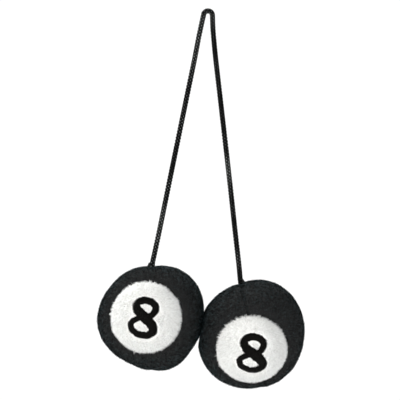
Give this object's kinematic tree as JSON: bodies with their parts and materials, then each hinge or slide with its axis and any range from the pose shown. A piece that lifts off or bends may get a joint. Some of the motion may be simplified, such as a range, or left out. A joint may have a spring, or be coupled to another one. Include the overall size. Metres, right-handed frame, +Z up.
{
  "type": "hanging pair of plush billiard balls",
  "caption": "Soft plush billiard balls numbered eight, stitched from black gores with a white face, hanging together on one folded braided cord.",
  "frame": {"origin": "underside of the cord at the top of its fold, where the pair hangs on a hook or mirror stem", "axes": "+Z up, +X from the left ball to the right ball, and both faces look towards -Y"},
  "size_m": [0.1419, 0.0712, 0.268],
  "materials": {
    "black_plush": "short pile plush, matt charcoal black with a soft sheen",
    "white_plush": "short pile plush, matt warm white",
    "embroidery_thread": "satin stitch in black rayon thread, low gloss",
    "braided_cord": "round braid of black polyester, low gloss",
    "polyester_fibre": "loose white fibre filling",
    "nonwoven_backing": "off-white non-woven sheet"
  },
  "bodies": {
    "bow": {"cord_bow": "braided_cord"},
    "left_shoulder": {"cord_left_shoulder": "braided_cord"},
    "left_leg": {"cord_left_leg": "braided_cord"},
    "left_neck": {"cord_left_neck": "braided_cord"},
    "left_collar": {"cord_left_collar": "braided_cord"},
    "left_ball": {"left_gore_front_left": "black_plush", "left_gore_front_right": "black_plush", "left_gore_back_left": "black_plush", "left_gore_back_right": "black_plush", "left_face_patch": "white_plush", "left_numeral": "embroidery_thread", "left_embroidery_backing": "nonwoven_backing", "left_stuffing": "polyester_fibre", "left_exit_tack": "black_plush", "left_cord_tail": "braided_cord", "left_stopper_knot": "braided_cord"},
    "right_shoulder": {"cord_right_shoulder": "braided_cord"},
    "right_leg": {"cord_right_leg": "braided_cord"},
    "right_neck": {"cord_right_neck": "braided_cord"},
    "right_collar": {"cord_right_collar": "braided_cord"},
    "right_ball": {"right_gore_front_left": "black_plush", "right_gore_front_right": "black_plush", "right_gore_back_left": "black_plush", "right_gore_back_right": "black_plush", "right_face_patch": "white_plush", "right_numeral": "embroidery_thread", "right_embroidery_backing": "nonwoven_backing", "right_stuffing": "polyester_fibre", "right_exit_tack": "black_plush", "right_cord_tail": "braided_cord", "right_stopper_knot": "braided_cord"}
  },
  "joints": [
    {"name": "left_swing", "type": "hinge", "parent": "bow", "child": "left_shoulder", "pos_m": [-0.00443, 0, -0.00696], "axis": [1, 0, 0], "range_deg": [-45, 45]},
    {"name": "left_spread", "type": "hinge", "parent": "left_shoulder", "child": "left_leg", "pos_m": [-0.00539, 0, -0.01146], "axis": [0, 1, 0], "range_deg": [0, 35]},
    {"name": "left_tilt", "type": "hinge", "parent": "left_leg", "child": "left_neck", "pos_m": [-0.0387, 0, -0.1739], "axis": [0, 1, 0], "range_deg": [0, 30]},
    {"name": "left_nod", "type": "hinge", "parent": "left_neck", "child": "left_collar", "pos_m": [-0.0396, 0, -0.17841], "axis": [1, 0, 0], "range_deg": [-30, 30]},
    {"name": "left_twist", "type": "hinge", "parent": "left_collar", "child": "left_ball", "pos_m": [-0.0396, 0, -0.1814], "axis": [0, 0, 1], "range_deg": [-180, 180]},
    {"name": "right_swing", "type": "hinge", "parent": "bow", "child": "right_shoulder", "pos_m": [0.00337, 0, -0.00709], "axis": [1, 0, 0], "range_deg": [-45, 45]},
    {"name": "right_spread", "type": "hinge", "parent": "right_shoulder", "child": "right_leg", "pos_m": [0.00358, 0, -0.01168], "axis": [0, -1, 0], "range_deg": [0, 35]},
    {"name": "right_tilt", "type": "hinge", "parent": "right_leg", "child": "right_neck", "pos_m": [0.02275, 0, -0.1869], "axis": [0, -1, 0], "range_deg": [0, 30]},
    {"name": "right_nod", "type": "hinge", "parent": "right_neck", "child": "right_collar", "pos_m": [0.0232, 0, -0.19148], "axis": [1, 0, 0], "range_deg": [-30, 30]},
    {"name": "right_twist", "type": "hinge", "parent": "right_collar", "child": "right_ball", "pos_m": [0.0238, 0, -0.19442], "axis": [-0.1994, 0, 0.9799], "range_deg": [-180, 180]}
  ]
}
